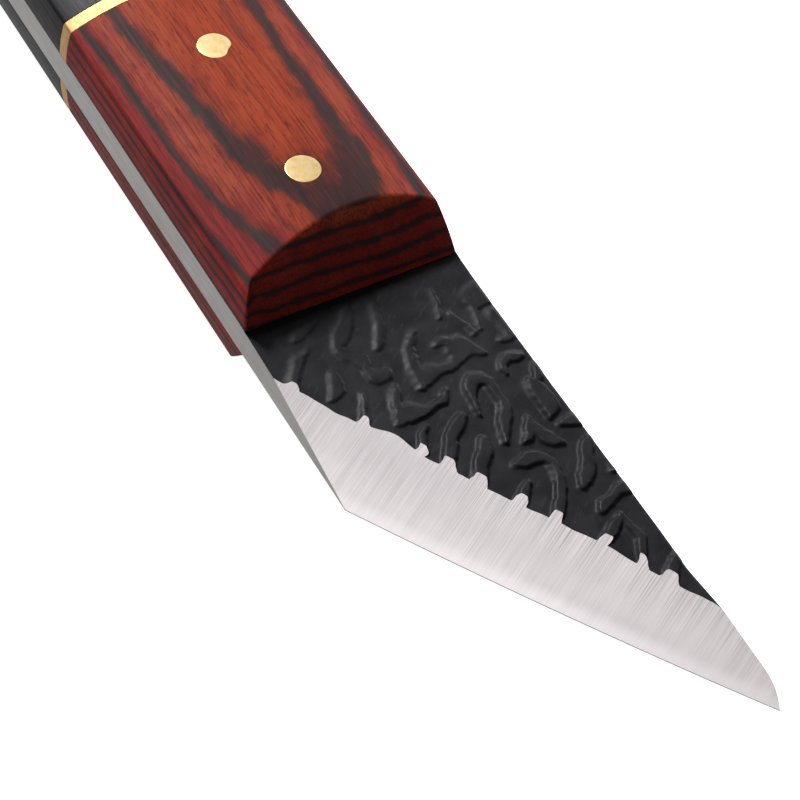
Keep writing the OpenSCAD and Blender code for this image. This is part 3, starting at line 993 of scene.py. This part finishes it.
front_layers = layer_function(LAYERS)


def plain_layers(points):
    """Gently tilted and waving layers for the pieces that hide most of theirs."""
    p = np.asarray(points, float)
    wave = 0.25 * np.sin(p[:, 0] / 19 + 1) + 0.15 * np.sin(p[:, 1] / 7 + p[:, 0] / 31)
    return (np.abs(p[:, 2]) + 0.03 * p[:, 1] + wave) / 1.5


def give_layers(obj, layers, front=False):
    """Stores each vertex's layer number, and where the front end's end grain is."""
    mesh = obj.data
    co = np.zeros(len(mesh.vertices) * 3)
    mesh.vertices.foreach_get("co", co)
    points = co.reshape(-1, 3) / MM - np.array(ORIGIN)
    made = mesh.attributes.new("lamina", "FLOAT", "POINT")
    made.data.foreach_set("value", layers(points).astype(np.float32))
    rise = np.abs(points[:, 2]) - HALF_T
    behind = -front_slope(points[:, 1], front) * rise - points[:, 0]
    made = mesh.attributes.new("end_grain", "FLOAT", "POINT")
    made.data.foreach_set("value", (1 - smooth((behind - 0.05) / 0.25)).astype(np.float32))


# ---------------------------------------------------------------- the pieces

# Angle, width and depth of the nick in one pin.
NOTCH = (0.75, 0.42, 0.34)
PINS = [("pin_1", None), ("pin_2", NOTCH), ("pin_3", None), ("pin_4", None)]
# Gap between a rod and its hole.
HOLE_GAP = 0.05

red = wood("red_wood", srgb(176, 72, 42), srgb(142, 34, 34), srgb(44, 38, 42), srgb(88, 28, 24), 0.53)
black = wood("black_wood", srgb(52, 50, 54), srgb(40, 38, 42), srgb(22, 21, 24), srgb(30, 28, 31), 0.4)
spacer_brass = brass("spacer_brass", srgb(204, 168, 120), srgb(190, 152, 104), 0.5)
pin_brass = brass("pin_brass", srgb(240, 212, 160), srgb(230, 196, 130), 0.32)


def ready(obj, node):
    """Puts a piece in the place of its CAD node."""
    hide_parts(node)
    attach(obj, "root")
    return obj


def drill(obj, holes):
    """Cuts round holes through a piece and bakes the result into its mesh."""
    cutters = []
    for hx, hy, hr, notch in holes:
        verts, faces = rod_mesh(hx, hy, hr, notch, grow=HOLE_GAP, past=3.0)
        cutter = new_object("cutter", verts, faces, [])
        cutters.append(cutter)
        mod = obj.modifiers.new("hole", "BOOLEAN")
        mod.operation, mod.solver, mod.object = "DIFFERENCE", "EXACT", cutter
    bpy.context.view_layer.update()
    graph = bpy.context.evaluated_depsgraph_get()
    done = bpy.data.meshes.new_from_object(obj.evaluated_get(graph))
    obj.modifiers.clear()
    old = obj.data
    obj.data = done
    bpy.data.meshes.remove(old)
    done.name = obj.name
    for cutter in cutters:
        bpy.data.objects.remove(cutter)
    finish_shading(done, 30.0)


def pin_holes(nodes):
    """Place, radius and notch of the hole for each pin."""
    return [(middle(n).x, middle(n).y, PIN_R, dict(PINS)[n]) for n in nodes]


tube = middle("lanyard_tube")
tube_hole = (tube.x, tube.y, TUBE_R, None)
blade_holes = [(h[0], h[1], h[2] + HOLE_GAP) for h in pin_holes([n for n, _ in PINS]) + [tube_hole]]

blade = build_blade(blade_holes, [ground_steel(), forged_steel(), side_steel(), ground_steel()])
ready(blade, "blade")

for node, is_lower in (("front_scale_upper", False), ("front_scale_lower", True)):
    shape = scale_mesh(SPACER_FRONT, dished=not is_lower)
    shape = lowered(*shape) if is_lower else shape
    piece = new_object(node + "_wood", *shape, [red])
    drill(piece, pin_holes(["pin_1", "pin_2"]))
    give_layers(piece, plain_layers if is_lower else front_layers, not is_lower)
    ready(piece, node)

for node, is_lower in (("spacer_upper", False), ("spacer_lower", True)):
    shape = spacer_mesh(SPACER_FRONT, SPACER_BACK)
    shape = lowered(*shape) if is_lower else shape
    ready(new_object(node + "_plate", *shape, [spacer_brass]), node)

for node, is_lower in (("rear_scale_upper", False), ("rear_scale_lower", True)):
    shape = rear_mesh(SPACER_BACK, BUTT_X)
    shape = lowered(*shape) if is_lower else shape
    piece = new_object(node + "_wood", *shape, [black])
    drill(piece, pin_holes(["pin_3", "pin_4"]) + [tube_hole])
    give_layers(piece, plain_layers)
    ready(piece, node)

for node, notch in PINS:
    shape = rod_mesh(middle(node).x, middle(node).y, PIN_R, notch)
    ready(new_object(node + "_rod", *shape, [pin_brass]), node)

shape = rod_mesh(tube.x, tube.y, TUBE_R, bore=TUBE_BORE_R)
ready(new_object("lanyard_tube_brass", *shape, [pin_brass]), "lanyard_tube")

# ---------------------------------------------------------------- floor, light and camera


def floor_material():
    """A plain pale floor; its glow is only for the camera, so it doesn't light the knife."""
    m = Nodes("floor")
    speck = m.noise(m.place(), 0.02, 2.0)
    tint = m.mix(m.fit(speck, 0.3, 0.7), (0.76, 0.76, 0.76), (0.8, 0.8, 0.8))
    m.surface(Base_Color=tint, Roughness=0.8)
    glow = m.add("ShaderNodeEmission")
    glow.inputs["Color"].default_value = (1, 1, 1, 1)
    path = m.add("ShaderNodeLightPath")
    m.link(m.math("MULTIPLY", path.outputs["Is Camera Ray"], 0.97), glow.inputs["Strength"])
    both = m.add("ShaderNodeAddShader")
    m.link(m.bsdf.outputs[0], both.inputs[0])
    m.link(glow.outputs[0], both.inputs[1])
    out = next(n for n in m.tree.nodes if n.type == "OUTPUT_MATERIAL")
    m.link(both.outputs[0], out.inputs["Surface"])
    return m.material


def make_floor():
    """A wide flat floor under the knife, in metres."""
    half = 3.0
    mesh = bpy.data.meshes.new("floor")
    corners = [(-half, -half, 0), (half, -half, 0), (half, half, 0), (-half, half, 0)]
    mesh.from_pydata(corners, [], [(0, 1, 2, 3)])
    mesh.materials.append(floor_material())
    floor = bpy.data.objects.new("floor", mesh)
    scene.collection.objects.link(floor)


def make_world():
    """White to the camera; as light, soft above and behind the handle and dim past the tip."""
    world = bpy.data.worlds.new("studio")
    scene.world = world
    world.use_nodes = True
    tree = world.node_tree
    tree.nodes.clear()

    def add(kind, **settings):
        node = tree.nodes.new(kind)
        for key, value in settings.items():
            setattr(node, key, value)
        return node

    coord = add("ShaderNodeTexCoord")
    toward = add("ShaderNodeVectorMath", operation="DOT_PRODUCT")
    tree.links.new(coord.outputs["Generated"], toward.inputs[0])
    toward.inputs[1].default_value = Vector((-0.62, 0.12, 0.78)).normalized()
    level = add("ShaderNodeMapRange", interpolation_type="SMOOTHSTEP")
    tree.links.new(toward.outputs["Value"], level.inputs["Value"])
    level.inputs["From Min"].default_value = -0.35
    level.inputs["From Max"].default_value = 0.85
    level.inputs["To Min"].default_value = 0.02
    level.inputs["To Max"].default_value = 0.14
    path = add("ShaderNodeLightPath")
    seen = add("ShaderNodeMath", operation="MAXIMUM")
    tree.links.new(level.outputs[0], seen.inputs[0])
    tree.links.new(path.outputs["Is Camera Ray"], seen.inputs[1])
    back = add("ShaderNodeBackground")
    tree.links.new(seen.outputs[0], back.inputs["Strength"])
    out = add("ShaderNodeOutputWorld")
    tree.links.new(back.outputs[0], out.inputs["Surface"])


def area_light(name, at, aim, size, power):
    """A soft rectangular lamp at a place given in frame metres."""
    data = bpy.data.lights.new(name, "AREA")
    data.shape = "RECTANGLE"
    data.size, data.size_y = size
    data.energy = power
    lamp = bpy.data.objects.new(name, data)
    lamp.location = at
    lamp.rotation_mode = "QUATERNION"
    lamp.rotation_quaternion = (Vector(aim) - Vector(at)).to_track_quat("-Z", "Y")
    scene.collection.objects.link(lamp)


def make_camera():
    """A long lens in front of the tip, looking down along the blade at the handle."""
    data = bpy.data.cameras.new("camera")
    data.sensor_width = 36.0
    data.lens = 93.84
    data.clip_start, data.clip_end = 0.01, 20.0
    camera = bpy.data.objects.new("camera", data)
    right = Vector((0.50573, 0.85501, 0.11483)).normalized()
    forward = Vector((-0.47059, 0.38498, -0.79394)).normalized()
    up = right.cross(forward)
    turn = Matrix((right, up, -forward)).transposed()
    camera.matrix_world = Matrix.Translation((0.14239, -0.08721, 0.18418)) @ turn.to_4x4()
    scene.collection.objects.link(camera)
    scene.camera = camera


make_floor()
make_world()
area_light("key", (-0.6, -0.11, 0.62), (0.02, 0.0, 0.01), (0.16, 0.16), 6.9)
area_light("overhead", (0.07, -0.18, 0.84), (0.05, 0.0, 0.01), (0.5, 0.42), 0.88)
area_light("panel", (-0.58, 0.33, 0.53), (0.0, 0.0, 0.015), (0.28, 0.28), 0.4)
area_light("strip", (-0.55, 0.7, 0.2), (0.0, 0.0, 0.015), (0.8, 0.2), 2.6)
make_camera()
scene.view_settings.view_transform = "Standard"
scene.cycles.use_denoising = True
